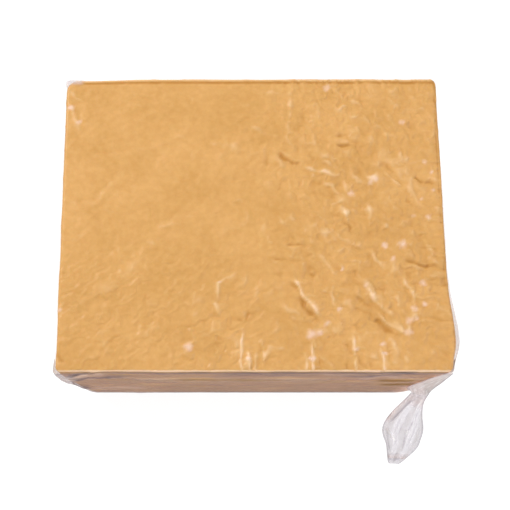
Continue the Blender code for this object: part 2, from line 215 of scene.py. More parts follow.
# Lines that show on the front, as X and height, with their width and strength: golden painted shade where the
# film presses into the cheese, painted shade where it lies folded, and painted highlights where it lifts off
# the cheese
GOLD_DROP = 6.0  # on the cheese a golden line lies this much lower than the clear line of the film over it
GOLD_SHADE_LINES = [
    Fold(
        ((-150, 138), (-120, 134), (-95, 126), (-60, 130), (-20, 126), (40, 126), (80, 122), (112, 127)),
        8.0, 1.6,
    ),
    Fold(((112, 127), (136, 124), (158, 126)), 7.5, 1.3),
    Fold(((112, 94), (150, 94), (165, 108), (171, 136), (182, 160)), 8.0, 1.4),
    Fold(((-172, 160), (-140, 166), (-100, 158)), 3.5, 0.5),
    Fold(((60, 108), (100, 112), (140, 108)), 4.0, 0.5),
    Fold(((-120, 86), (-30, 82), (60, 86)), 5.0, 0.3),
]
SHADE_LINES = [
    # painted shade in a band just under the top edge
    Fold(((-230, 172), (-60, 171), (60, 172), (260, 172)), 4.0, 0.65),
    Fold(((-174, 140), (-169, 146), (-156, 160), (-141, 174), (-128, 178)), 3.0, 1.1),
    Fold(((-178, 120), (-167, 126), (-153, 141), (-135, 147), (-110, 142)), 3.0, 0.95),
    Fold(((-186, 92), (-177, 80), (-168, 60), (-160, 54)), 4.5, 0.8),
    Fold(((-120, 128), (-95, 124), (-70, 129)), 3.0, 0.5),
    Fold(((70, 152), (100, 146), (130, 158), (150, 152)), 3.5, 0.6),
    Fold(((108, 172), (128, 172), (150, 170)), 4.0, 0.55),
    Fold(((-40, 150), (0, 158), (60, 150)), 4.0, 0.35),
    # painted shade along the base
    Fold(((-230, 8), (0, 6), (230, 8)), 5.0, 0.5),
]
HIGHLIGHT_LINES = [
    Fold(((-182, 146), (-160, 146), (-148, 158), (-132, 164)), 3.5, 1.0),
    Fold(((-176, 132), (-162, 134), (-146, 132)), 3.5, 0.9),
    Fold(((-172, 44), (-152, 56), (-128, 60), (-104, 54)), 9.0, 0.5),
    Fold(((62, 162), (84, 154), (104, 160)), 3.5, 0.6),
    Fold(((96, 134), (120, 148), (146, 144)), 3.0, 0.5),
    Fold(((-140, 116), (-60, 118), (20, 116), (110, 118)), 7.0, 0.3),
    # a painted highlight that lightens the shade up the front right corner
    Fold(((146, -20), (157, 40), (166, 90), (174, 140), (182, 190)), 7.0, 1.2),
]


def linear(hex_colour):
    """An sRGB hex colour as the linear numbers that shaders take."""
    parts = [int(hex_colour[at : at + 2], 16) / 255 for at in (1, 3, 5)]
    return (*(part / 12.92 if part <= 0.04045 else ((part + 0.055) / 1.055) ** 2.4 for part in parts), 1.0)


def smooth(t):
    """0 below 0, 1 above 1, and an S-shaped rise between them."""
    t = np.clip(t, 0.0, 1.0)
    return t * t * (3 - 2 * t)


def bell(distance, width):
    """1 in the middle, falling to nearly 0 at twice the width."""
    return np.exp(-((distance / width) ** 2))


def noise(points, size, seed):
    """Gradient noise between about -1 and 1. size is one length, or one for each axis."""
    rng = np.random.default_rng(seed)
    order = rng.permutation(256)
    slopes = rng.normal(size=(256, 3))
    slopes /= np.linalg.norm(slopes, axis=1)[:, None]
    spot = points / np.array(size)
    cell = np.floor(spot).astype(int)
    inside = spot - cell
    ease = inside**3 * (inside * (inside * 6 - 15) + 10)
    total = np.zeros(len(points))
    for corner in itertools.product((0, 1), repeat=3):
        x, y, z = ((cell + corner) % 256).T
        slope = slopes[order[(order[(order[x] + y) % 256] + z) % 256]]
        weight = np.prod(np.where(corner, ease, 1 - ease), axis=1)
        total += weight * np.sum(slope * (inside - corner), axis=1)
    return 1.6 * total


def creases(points, size, seed):
    """1 along the wandering lines where noise is 0, falling quickly to 0 beside them."""
    return np.clip(1 - 2.4 * np.abs(noise(points, size, seed)), 0, 1) ** 2.2


def fold_height(fold, x, y):
    """How far one fold lifts the film at places on its face."""
    line = np.array(fold.line, float)
    reach = 5 * fold.width
    low, high = line.min(0) - reach, line.max(0) + reach
    near = np.flatnonzero((x > low[0]) & (x < high[0]) & (y > low[1]) & (y < high[1]))
    lift = np.zeros(len(x))
    if not len(near):
        return lift
    spots = np.stack([x[near], y[near]], axis=1)
    lengths = np.linalg.norm(np.diff(line, axis=0), axis=1)
    best = np.full(len(near), np.inf)
    across = np.zeros(len(near))
    along = np.zeros(len(near))
    for number, (start, end) in enumerate(zip(line, line[1:])):
        run = (end - start) / lengths[number]
        away = spots - start
        forward = np.clip(away @ run, 0, lengths[number])
        distance = np.linalg.norm(away - forward[:, None] * run, axis=1)
        closer = distance < best
        side = np.sign(run[0] * away[:, 1] - run[1] * away[:, 0])
        best = np.where(closer, distance, best)
        across = np.where(closer, side * distance, across)
        along = np.where(closer, (lengths[:number].sum() + forward) / lengths.sum(), along)
    fade = smooth(along / 0.24) * smooth((1 - along) / 0.24)
    ridge = np.exp(-((best / fold.width) ** 1.6))
    lip = abs(fold.lip) * bell(across - math.copysign(2 * fold.width, fold.lip), fold.width)
    lift[near] = fold.rise * fade * (ridge - lip)
    return lift


def busy(x, y):
    """How wrinkled the top is: little at the back left, and most at the right and along the near edge."""
    right = smooth((x + 70) / 150)
    near = 0.8 * smooth((-y - 60) / 70) * smooth((x + 130) / 90)
    return np.clip(BUSY_LEAST + (1 - BUSY_LEAST) * np.maximum(right, near), 0, 1)


def stray_fold(rng, kind, middle, angle, bend):
    """One short fold, bent in the middle."""
    length = rng.uniform(*kind.lengths)
    run = np.array([math.cos(angle), math.sin(angle)]) * length / 2
    side = np.array([-run[1], run[0]]) * rng.normal(0, bend)
    line = (middle - run, middle + side, middle + run)
    rise = rng.choice([-1, 1], p=[0.4, 0.6]) * rng.uniform(*kind.rises)
    return Fold(line, rng.uniform(*kind.widths), rise, rng.choice([-0.5, 0.5]))


def stray_folds():
    """Short bent folds scattered over the top, closest together where it is busy."""
    folds = []
    for kind in TOP_STRAYS:
        rng = np.random.default_rng(kind.seed)
        wanted = len(folds) + kind.count
        while len(folds) < wanted:
            x, y = rng.uniform(-HALF, HALF)
            amount = busy(x, y)
            if rng.random() > amount:
                continue
            pull = GATHER_RIGHT if x > 20 else GATHER_LEFT
            fold = stray_fold(rng, kind, np.array([x, y]), math.radians(pull) + rng.normal(0, 0.7), 0.35)
            folds.append(fold._replace(rise=fold.rise * (0.5 + 0.5 * amount)))
    return folds


def edge_folds():
    """Pleats into the near edge, and short level pulls in from the right edge."""
    folds = []
    for x, reach, rise in PLEATS:
        start = (x + PLEAT_LEAN * math.sin(x), -DEPTH / 2 + reach)
        folds.append(Fold((start, (x, -DEPTH / 2 + 0.45 * reach), (x, -DEPTH / 2 - 14)), PLEAT_WIDTH, rise))
    rng = np.random.default_rng(TOP_STRAYS[0].seed)
    for y in PULLS_Y:
        reach = rng.uniform(*PULL_REACH)
        lean = rng.normal(0, 4)
        line = ((HALF[0] - reach, y + lean), (HALF[0] - reach / 2, y + lean / 3), (HALF[0] + 12, y))
        folds.append(Fold(line, rng.uniform(*PULL_WIDTH), rng.uniform(*PULL_RISE), rng.choice([-0.5, 0.5])))
    return folds


def side_folds():
    """Long, mostly level folds of the four sides, as distance round the block and height."""
    rng = np.random.default_rng(SIDE_STRAY.seed)
    folds = []
    for _ in range(SIDE_STRAY.count):
        middle = np.array([rng.uniform(0, GIRTH), rng.uniform(14, HEIGHT - 8)])
        folds.append(stray_fold(rng, SIDE_STRAY, middle, rng.normal(0, 0.12), 0.05))
    return folds


def round_the_block(x, y):
    """Distance round the sides, from the front left corner by way of the front and right."""
    front = (y < 0) & (np.abs(y) / HALF[1] >= np.abs(x) / HALF[0])
    back = (y > 0) & (np.abs(y) / HALF[1] >= np.abs(x) / HALF[0])
    right = (x > 0) & ~front & ~back
    way = np.where(front, x + HALF[0], 0.0)
    way = np.where(right, LENGTH + y + HALF[1], way)
    way = np.where(back, LENGTH + DEPTH + HALF[0] - x, way)
    left = ~(front | back | right)
    return np.where(left, 2 * LENGTH + DEPTH + HALF[1] - y, way)


def gathers(points, degrees, seed):
    """Long crests that all run one way over the top."""
    turn = math.radians(degrees)
    run = points[:, 0] * math.cos(turn) + points[:, 1] * math.sin(turn)
    side = points[:, 1] * math.cos(turn) - points[:, 0] * math.sin(turn)
    return creases(np.stack([run, side, points[:, 2]], axis=1), GATHER[0], seed) - 0.2


def wander_at(points):
    """How far the folds stray from their drawn lines at each place."""
    wander = np.stack([noise(points, WANDER[0], 21), noise(points, WANDER[0], 22)], axis=1) * WANDER[1]
    return wander + np.stack([noise(points, JITTER[0], 23), noise(points, JITTER[0], 24)], axis=1) * JITTER[1]


def top_lines(points, wander, share):
    """Heights of the top's folds: those that leave a sharp line, and the soft swellings."""
    lines = np.zeros(len(points))
    soft = np.zeros(len(points))
    at = np.flatnonzero(share > 0)
    x, y = (points[at, :2] + wander[at]).T
    uneven = share[at] * (0.85 + 0.65 * noise(points[at], 9.0, 25))
    for fold in TOP_FOLDS + edge_folds() + stray_folds():
        kind = lines if fold.width < SOFT_FROM else soft
        kind[at] += uneven * fold_height(fold, x, y)
    far_hem = smooth((points[:, 0] + 168) / 12) * bell(points[:, 1] - HEM_Y, HEM_WIDTH)
    right_hem = smooth((points[:, 1] + 40) / 80) * bell(points[:, 0] - HEM_X, HEM_WIDTH)
    lines += share * HEM_RISE * (far_hem + 0.6 * right_hem)
    return lines, soft


def side_lines(points, wander, share, up):
    """Heights of the folds of the four sides, and of those drawn on the front."""
    lines = np.zeros(len(points))
    at = np.flatnonzero((share < 1) & (up > -0.2))
    steady = (1 - share[at]) * smooth((points[at, 2] - 4) / 18)
    way = round_the_block(points[at, 0], points[at, 1]) + 2 * wander[at, 0]
    height = points[at, 2] + wander[at, 1]
    for fold in side_folds():
        lines[at] += steady * (fold_height(fold, way, height) + fold_height(fold, way - GIRTH, height))
    front = steady * (points[at, 1] < -HALF[1] + 8)
    for fold in FRONT_FOLDS:
        lines[at] += front * fold_height(fold, points[at, 0] + wander[at, 0], height)
    return lines


def pulled_film(points, wander):
    """Long gathers, one way right of the middle and the other way at the front left."""
    right = smooth((points[:, 0] + 10) / 70)
    front_left = (1 - right) * smooth((-points[:, 1] + 10) / 80)
    bent = points + 5 * wander[:, [0, 1, 0]]
    return right * gathers(bent, GATHER_RIGHT, 36) + 1.1 * front_left * gathers(bent, GATHER_LEFT, 37)


def relief(points, up):
    """Height of the film's folds over the smooth skin, and of their sharp lines alone.

    up is the upward part of the surface's direction.
    """
    wander = wander_at(points)
    share = smooth((up - 0.35) / 0.5)
    lines, soft = top_lines(points, wander, share)
    lines += side_lines(points, wander, share, up)
    amount = busy(points[:, 0], points[:, 1])
    crumple = CRUMPLE[1] * (creases(points + 3 * wander[:, [0, 1, 0]], CRUMPLE[0], 31) - 0.25)
    pulled = GATHER[1] * pulled_film(points, wander)
    top = amount * (SWELL[1] * noise(points, SWELL[0], 30) + crumple) + (0.5 + 0.5 * amount) * pulled
    lines += share * 0.35 * (0.45 + 0.55 * amount) * (pulled + crumple)
    level = points * (1, 1, 2.6)
    side = 0.7 * SWELL[1] * noise(level, SWELL[0], 33) + CRUMPLE[1] * creases(level, 26.0, 34)
    side *= smooth((points[:, 2] - 4) / 18)
    fine = (0.3 + 0.7 * share) * CRINKLE[1] * noise(points, CRINKLE[0], 32)
    height = lines + soft + fine + 0.9 * share * top + (1 - share) * side
    return np.where(up < -0.2, 0.0, height), lines + 0.45 * soft


def cut_box(name, fineness):
    """A closed box whose top and sides are cut into squares, and whose underside is one face."""
    shape = bmesh.new()
    bmesh.ops.create_cube(shape, size=1)
    under = [face for face in shape.faces if face.normal.z < -0.5]
    bmesh.ops.delete(shape, geom=under, context="FACES_ONLY")
    counts = (round(LENGTH / fineness.cell), round(DEPTH / fineness.cell), fineness.rows)
    for axis, count in enumerate(counts):
        along = [edge for edge in shape.edges if abs(edge.verts[0].co[axis] - edge.verts[1].co[axis]) > 0.5]
        bmesh.ops.subdivide_edges(shape, edges=along, cuts=count - 1, use_grid_fill=True)
    bmesh.ops.edgeloop_fill(shape, edges=[edge for edge in shape.edges if edge.is_boundary])
    bmesh.ops.recalc_face_normals(shape, faces=shape.faces)
    mesh = bpy.data.meshes.new(name)
    shape.to_mesh(mesh)
    shape.free()
    return mesh


def by_corner(values, x, y):
    """The value of the corner that each place is nearest to."""
    return np.array(values)[(x > 0).astype(int) + 2 * (y > 0).astype(int)]


def skin_places(unit, skin, fineness):
    """Turns the unit box into the rounded, slightly swollen block."""
    level = (unit[:, 2] + 0.5) * fineness.rows
    straight = (fineness.base_rows, fineness.rows - fineness.top_rows)
    low = np.clip(1 - level / fineness.base_rows, 0, 1) * math.pi / 2
    high = np.clip((level - straight[1]) / fineness.top_rows, 0, 1) * math.pi / 2
    top, base = skin.top_radius, skin.base_radius
    rise = np.interp(level, straight, (base, HEIGHT - skin.inset - top))
    z = rise - base * np.sin(low) + top * np.sin(high)
    inset = skin.inset + base * (1 - np.cos(low)) + top * (1 - np.cos(high))
    extent = HALF - inset[:, None]
    plan = 2 * unit[:, :2] * extent
    x, y = plan.T
    down = np.clip(1 - z / HEIGHT, 0, 1) ** 1.3
    radius = by_corner(skin.corners_at_top, x, y) * (1 - down) + by_corner(skin.corners_at_base, x, y) * down
    radius = np.clip(radius - inset, 0.2, None)
    core = np.clip(plan, radius[:, None] - extent, extent - radius[:, None])
    off = plan - core
    size = np.linalg.norm(off, axis=1)
    rounded = (off[:, 0] != 0) & (off[:, 1] != 0)
    shrink = np.where(rounded, np.abs(off).max(axis=1) / np.maximum(size, 1e-9), 1.0)
    plan = core + off * shrink[:, None]
    share = plan / HALF
    swell = 1 + BARREL * np.sin(np.pi * np.clip(z / HEIGHT, 0, 1)) / HALF[0]
    crown = CROWN * smooth(z / HEIGHT * 4 - 3) * (1 - share[:, 0] ** 2) * (1 - share[:, 1] ** 2)
    return np.stack([plan[:, 0] * swell - SKEW * share[:, 1], plan[:, 1] * swell, z + crown], axis=1)


def bulge_at(points, size):
    """How far the bag stands off to the right, just behind the front right corner."""
    x, y, z = points.T
    reach = np.where(y > BULGE_Y, BULGE_REACH_BACK, BULGE_REACH_FRONT)
    side = smooth((x - HALF[0] + 14) / 14)
    return size * bell(y - BULGE_Y, reach) * side * smooth(1 - (HEIGHT - z) / BULGE_DROP)


def read_places(mesh):
    """The places of a mesh's vertices, one row each."""
    values = np.empty(3 * len(mesh.vertices))
    mesh.vertices.foreach_get("co", values)
    return values.reshape(-1, 3)


def read_normals(mesh):
    """The directions of a mesh's surface at its vertices, one row each."""
    values = np.empty(3 * len(mesh.vertices))
    mesh.vertex_normals.foreach_get("vector", values)
    return values.reshape(-1, 3)


def write_places(mesh, points):
    mesh.vertices.foreach_set("co", np.ascontiguousarray(points, dtype=np.float32).ravel())
    mesh.update()


def paint(mesh, name, values):
    """Keeps a number between 0 and 1 for each vertex, for the materials to read."""
    layer = mesh.attributes.new(name, "FLOAT", "POINT")
    layer.data.foreach_set("value", np.clip(values, 0, 1).astype(np.float32))


def piece(mesh, material, nodes):
    """A finished mesh as a piece that stands for the named solids."""
    mesh.materials.append(material)
    mesh.shade_smooth()
    thing = bpy.data.objects.new(mesh.name, mesh)
    bpy.context.scene.collection.objects.link(thing)
    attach(thing, "root")
    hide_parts(*nodes)
    return thing


def ear_at(points, size):
    """How far the bag stands off the front left edge."""
    away = np.hypot(points[:, 0] + HALF[0], points[:, 1] + HALF[1])
    return size * bell(away, EAR_REACH) * bell(points[:, 2] - EAR_HEIGHT, EAR_TALL)


def stand_off(points, bulge, ear):
    """Moves the places where the bag leaves the cheese outwards."""
    moved = points.copy()
    ear = ear_at(points, ear)
    moved[:, 0] += bulge_at(points, bulge) - ear
    moved[:, 1] -= ear / 2
    far = smooth((points[:, 1] - HALF[1] + 9) / 8) * smooth((points[:, 0] + 165) / 70)
    moved[:, 1] += HEM_STAND * far * smooth((points[:, 2] - 120) / 50)
    return moved


def front_lines(points, folds):
    """Strength of lines drawn on the front side."""
    x = points[:, 0] + 4 * noise(points * (1, 1, 2), 24.0, 61)
    height = points[:, 2] + 2.5 * noise(points * (1, 1, 0.4), 17.0, 62)
    front = (points[:, 1] < -HALF[1] + FRONT_STRIP) * smooth((HEIGHT - 2.6 - points[:, 2]) / 1.6)
    strength = sum(fold_height(fold, x, height) for fold in folds)
    return front * np.clip(strength * (1 + 0.35 * noise(points, 20.0, 63)), 0, 1)


def milk_and_glints(points, up, lines):
    """Where the film turns milky over small pockets under it, with painted highlights on the higher folds,
    along the top's near edge and in the front's lines of highlight.
    """
    x = points[:, 0] + noise(points, 5.0, 41) * 1.8 + noise(points, 2.2, 43) * 1.0
    y = points[:, 1] + noise(points, 5.0, 42) * 1.8 + noise(points, 2.2, 44) * 1.0
    milky = np.zeros(len(points))
    for pocket_x, pocket_y, radius, strength in AIR_POCKETS:
        away = np.hypot(x - pocket_x, y - pocket_y) / radius
        milky = np.maximum(milky, strength * smooth(1.1 - 0.8 * away))
    milky *= (0.85 + 0.4 * noise(points, 4.0, 45)) * (up > 0.5)
    # a painted highlight along the top's near edge
    edge = smooth((-points[:, 1] - HALF[1] + 1.7) / 0.6) * smooth((points[:, 2] - HEIGHT + 3.0) / 1.2)
    edge *= 0.85 + 0.5 * noise(points, 26.0, 47)
    # painted glints on the highest folds
    ridges = 0.35 * smooth((lines - 1.1) / 0.9)
    return np.maximum.reduce([milky, ridges, edge, front_lines(points, HIGHLIGHT_LINES)])


def veil_shade_film(points, up, lines):
    """How strong the mauve veil of painted shade and reflection is on the film of the sides: least in the
    creases, where it touches the cheese.
    """
    streaks = 1 + 0.4 * noise(points * (1, 1, 5), 38.0, 46)
    below_edge = smooth((0.6 - up) / 0.4) * smooth((HEIGHT - 2.4 - points[:, 2]) / 1.6)
    pressed = np.maximum(0.8 * smooth((-lines - 0.3) / 1.2), front_lines(points, GOLD_SHADE_LINES))
    front = points[:, 1] < -HALF[1] + FRONT_STRIP
    # the veil of painted shade and reflection is full on the front and half on the other sides
    return np.where(front, 1.0, 0.5) * streaks * below_edge * (1 - pressed)


def loose_film(points, up):
    """Where the film stands clear of the cheese, and its own grey shows."""
    x, y, z = points.T
    ear = 0.35 * smooth(ear_at(points, 1.0) / 0.45 - 0.6)
    back_corner = smooth((-161 - x) / 5) * smooth((y - 134.5) / 2.5) * smooth((z - HEIGHT + 26) / 20)
    right = bulge_at(points, 1.0) * smooth((x - HALF[0] + 2.5) / 2)
    web_edge = WEB_AT_BASE + (HALF[0] - WEB_AT_BASE) * (z / HEIGHT) ** 0.8
    web = 0.9 * smooth((x - web_edge) / 5) * (y < -HALF[1] + 30) * smooth((0.6 - up) / 0.3)
    return np.maximum.reduce([ear, back_corner, right, web])


def make_cheese(material):
    """The cheese, printed with the folds of the bag that was shrunk round it."""
    mesh = cut_box("cheddar", CHEESE_CUT)
    points = skin_places(read_places(mesh), CHEESE_SKIN, CHEESE_CUT)
    write_places(mesh, points)
    normals = read_normals(mesh)
    lift, lines = relief(points, normals[:, 2])
    shaped = stand_off(points + normals * (CHEESE_PRINT * lift)[:, None], BULGE_CHEESE, EAR_CHEESE)
    shaped[:, 2] += CHEESE_LIFT * smooth(1 - shaped[:, 2] / 8)
    paint(mesh, "milk_and_glint", milk_and_glints(points, normals[:, 2], lines))
    # painted highlights: a light line along the top's near edge, a light band beyond the far hem, and lighter
    # ridges
    near_rim_highlight = smooth((points[:, 2] - HEIGHT + 4) / 2) * smooth((-points[:, 1] - HALF[1] + 2.4) / 0.9)
    far_rim_highlight = 0.5 * smooth((points[:, 1] - HEM_Y - 1) / 1.2)
    paint(mesh, "pale_highlight", np.maximum.reduce([0.6 * smooth((lines - 0.1) / 1.6), near_rim_highlight, far_rim_highlight]))
    # painted shade along the front's long golden creases
    paint(mesh, "gold_shade", front_lines(points + (0, 0, GOLD_DROP), GOLD_SHADE_LINES))
    # painted shade in the grooves of the film's folds
    paint(mesh, "groove_shade", 0.8 * smooth((-lines - 0.05) / 1.3))
    crinkled = smooth((normals[:, 2] - 0.35) / 0.5)
    paint(mesh, "busy", crinkled * busy(points[:, 0], points[:, 1]))
    write_places(mesh, shaped * MM)
    piece(mesh, material, ["cheddar_block"])


def make_film(material):
    """The clear film round the cheese, which stands off it at the corners and in the folds."""
    mesh = cut_box("bag_film", FILM_CUT)
    points = skin_places(read_places(mesh), FILM_SKIN, FILM_CUT)
    write_places(mesh, points)
    normals = read_normals(mesh)
    lift, lines = relief(points, normals[:, 2])
    paint(mesh, "milk_and_glint", milk_and_glints(points, normals[:, 2], lines))
    paint(mesh, "loose", loose_film(points, normals[:, 2]))
    # a mauve veil of painted shade and reflection on the sides
    paint(mesh, "veil_shade", veil_shade_film(points, normals[:, 2], lines))
    # painted shade in the front's folds and bands
    paint(mesh, "fold_shade", front_lines(points, SHADE_LINES))
    write_places(mesh, stand_off(points + normals * lift[:, None], BULGE_FILM, EAR_FILM) * MM)
    piece(mesh, material, ["cheddar_block"])


def add_node(tree, kind, settings=(), inputs=(), links=()):
    """Adds a shader node with its settings, its plain inputs and its linked inputs."""
    node = tree.nodes.new(kind)
    for name, value in dict(settings).items():
        setattr(node, name, value)
    for name, value in dict(inputs).items():
        node.inputs[name].default_value = value
    for name, socket in dict(links).items():
        tree.links.new(socket, node.inputs[name])
    return node


def new_material(name, finish):
    """A new material with the plain values of its finish, its node tree and its shader."""
    material = bpy.data.materials.new(name)
    material.use_nodes = True
    tree = material.node_tree
    shader = tree.nodes["Principled BSDF"]
    for socket, value in finish.items():
        shader.inputs[socket].default_value = value
    return material, tree, shader


def layered(tree, below, layers):
    """Lays colours over the one below, each as strongly as its mark."""
    settings = {"data_type": "RGBA", "clamp_factor": True}
    for mark, hex_colour in layers:
        mix = add_node(tree, "ShaderNodeMix", settings, {7: linear(hex_colour)}, {0: mark, 6: below})
        below = mix.outputs[2]
    return below


def read_marks(tree, *names):
    """The numbers that a mesh was painted with, as sockets."""
    marks = {}
    for name in names:
        marks[name] = add_node(tree, "ShaderNodeAttribute", {"attribute_name": name}).outputs["Fac"]
    return marks


def add_up(tree, start, shares, clamped):
    """A plain number and shares of painted marks, added up to one socket."""
    settings = {"operation": "MULTIPLY_ADD", "use_clamp": clamped}
    total = None
    for mark, share in shares:
        node = add_node(tree, "ShaderNodeMath", settings, {1: share, 2: start}, {0: mark})
        if total is not None:
            tree.links.new(total, node.inputs[2])
        total = node.outputs[0]
    return total


CHEESE_FINISH = {
    "Roughness": 0.5,
    "Specular IOR Level": 0.15,
    "Coat Weight": 0.08,
    "Coat Roughness": 0.25,
    "Subsurface Weight": 0.12,
    "Subsurface Radius": (1.0, 0.45, 0.15),
    "Subsurface Scale": 0.003,
}
# Patterns in the cheese, as features per metre
CLOUD_SCALE = 26.0  # cloudy patches about 40 mm across
CURD_SCALE = 170.0  # pressed curds about 6 mm across
CRINKLE_SCALE = 240.0  # crinkles of the film about 4 mm apart, drawn coarser than the real ones
CURD_SHARE = 0.27
CRINKLE_DEPTH = 0.0009  # in metres
CHEESE_RAMPS = {
    "clouds": ((0.36, "#CC9955"), (0.66, "#D6A361")),
    "curd": ((0.34, "#C28F4E"), (0.68, "#DCAC6D")),
}


def toned(tree, pattern, ramp_name):
    """A noise pattern in the cheese's own colours."""
    ramp = add_node(tree, "ShaderNodeValToRGB", links={"Fac": pattern.outputs["Fac"]})
    for element, (position, colour) in zip(ramp.color_ramp.elements, CHEESE_RAMPS[ramp_name]):
        element.position = position
        element.color = linear(colour)
    return ramp.outputs["Color"]


def cheddar_material():
    """Cheddar coloured with annatto, pressed into a dense, faintly mottled paste with a matte surface.

    Its colour carries painted shade in the grooves and in the front's long golden creases, painted highlights
    on the ridges and along the rims of the top, and milky marks over pockets under the film with more painted
    highlights.
    """
    material, tree, shader = new_material("cheddar paste under film", CHEESE_FINISH)
    place = add_node(tree, "ShaderNodeTexCoord").outputs["Object"]
    marks = read_marks(tree, "milk_and_glint", "pale_highlight", "groove_shade", "gold_shade", "busy")
    inputs = {"Scale": CLOUD_SCALE, "Detail": 3.0}
    clouds = add_node(tree, "ShaderNodeTexNoise", inputs=inputs, links={"Vector": place})
    inputs = {"Scale": CURD_SCALE, "Detail": 4.0}
    curd = add_node(tree, "ShaderNodeTexNoise", inputs=inputs, links={"Vector": place})
    links = {6: toned(tree, clouds, "clouds"), 7: toned(tree, curd, "curd")}
    paste = add_node(tree, "ShaderNodeMix", {"data_type": "RGBA"}, {"Factor": CURD_SHARE}, links).outputs[2]

    # painted shade in the grooves and the front's golden creases, painted highlights on the ridges and rims,
    # and milky pockets with more painted highlights
    layers = (
        (marks["groove_shade"], "#AF762C"),
        (marks["pale_highlight"], "#F3D3A8"),
        (marks["gold_shade"], "#94692A"),
        (marks["milk_and_glint"], "#F1CFB8"),
    )
    tree.links.new(layered(tree, paste, layers), shader.inputs["Base Color"])

    inputs = {"Scale": CRINKLE_SCALE, "Detail": 2.0, "Distortion": 0.8}
    crinkle = add_node(tree, "ShaderNodeTexNoise", inputs=inputs, links={"Vector": place}).outputs["Fac"]
    amount = add_node(tree, "ShaderNodeMath", {"operation": "MULTIPLY"}, {}, {0: crinkle, 1: marks["busy"]})
    inputs = {"Strength": 0.5, "Distance": CRINKLE_DEPTH}
    bump = add_node(tree, "ShaderNodeBump", inputs=inputs, links={"Height": amount.outputs[0]})
    tree.links.new(bump.outputs["Normal"], shader.inputs["Normal"])
    return material


def film_material():
    """Polyethylene bag film, shrunk on: clear where it clings, milky where it stands off in pockets, with
    painted glints, a mauve veil of painted shade and reflection where it is slack, and painted shade in the
    front's folds.
    """
    finish = {"Roughness": 0.2, "IOR": 1.5, "Specular IOR Level": 0.2}
    material, tree, shader = new_material("shrunk polyethylene film", finish)
    marks = read_marks(tree, "milk_and_glint", "loose", "veil_shade", "fold_shade")
    clear = add_node(tree, "ShaderNodeRGB").outputs[0]
    clear.default_value = linear("#F6DCCE")
    # a mauve veil of painted shade and reflection, milky pockets with painted glints, painted shade in the
    # front's folds, and the film's own grey where it stands clear
    layers = (
        (marks["veil_shade"], "#B4989A"),
        (marks["milk_and_glint"], "#F8D8C2"),
        (marks["fold_shade"], "#5E4030"),
        (marks["loose"], "#E2DDE4"),
    )
    tree.links.new(layered(tree, clear, layers), shader.inputs["Base Color"])
    shares = ((marks["milk_and_glint"], 0.14), (marks["loose"], 0.36), (marks["veil_shade"], 0.42), (marks["fold_shade"], 0.75))
    tree.links.new(add_up(tree, 0.015, shares, False), shader.inputs["Alpha"])
    return material


def loose_film_material():
    """Loose polyethylene bag film in crumpled layers: clear but greyed as painted shade, in place of the
    shadow it doesn't cast, with grey creases and edges of painted shade, a warm hem and painted glints.
    """
    material, tree, shader = new_material("loose polyethylene film", {"Roughness": 0.16, "IOR": 1.5})
    marks = read_marks(tree, "grey", "warm", "white")
    clear = add_node(tree, "ShaderNodeRGB").outputs[0]
    # greyer than clear film, as painted shade in place of the shadow that this piece doesn't cast
    clear.default_value = linear("#C8C0CA")
    # the hem's own warm tint, painted shade in grey creases and edges, and painted glints
    layers = ((marks["warm"], "#E9D6CF"), (marks["grey"], "#8F8794"), (marks["white"], "#FFFFFF"))
    tree.links.new(layered(tree, clear, layers), shader.inputs["Base Color"])
    shares = ((marks["warm"], 0.42), (marks["grey"], 0.35), (marks["white"], 0.5))
    tree.links.new(add_up(tree, 0.3, shares, True), shader.inputs["Alpha"])
    return material


# The bag's empty end: a web down the front right edge, a neck at the floor and a leaf lying in front
Ring = namedtuple("Ring", "x y z turn half_width half_thick")
END_RINGS = [
    Ring(177.4, -141.9, 176.4, -6, 2.2, 0.4),
    Ring(175.0, -142.4, 163, -4, 4.5, 0.35),
    Ring(171.2, -143.3, 146, -4, 7.6, 0.4),
    Ring(168.8, -144.1, 124, -3, 10.0, 0.4),
    Ring(166.5, -144.2, 100, -3, 12.4, 0.4),
    Ring(166.7, -144.2, 74, -3, 13.2, 0.4),
    Ring(170.2, -144.0, 50, -3, 11.1, 0.5),
    Ring(174.2, -143.9, 28, -5, 9.3, 0.7),
    Ring(175.0, -144.6, 13, -14, 9.1, 1.2),
    Ring(173.4, -147.8, 6, -22, 9.1, 1.5),
    Ring(169.6, -154.0, 4.5, -18, 11.3, 1.5),
    Ring(163.8, -164.0, 4.7, -12, 16.1, 1.4),
    Ring(159.9, -174.0, 5.2, -10, 20.2, 1.3),
    Ring(157.6, -182.0, 5.2, -8, 21.1, 1.3),
    Ring(157.0, -188.8, 5.0, -5, 19.3, 1.3),
    Ring(156.9, -195.4, 4.7, -5, 16.9, 1.3),
    Ring(154.4, -202.2, 4.4, -5, 13.7, 1.2),
    Ring(151.4, -207.9, 4.0, -4, 10.3, 1.2),
    Ring(149.0, -212.6, 3.5, -3, 7.5, 1.1),
    Ring(147.9, -214.9, 3.1, -5, 4.9, 0.9),
]
END_AROUND = 128
END_ALONG = 190
END_LOWEST = 0.4  # how far the loose end stays off the floor
LEAF_PLEATS = 2.5  # pleats across the leaf
LEAF_PLEAT_RISE = 1.3
NECK_END = 240.0  # the gathered neck ends this far along the tube

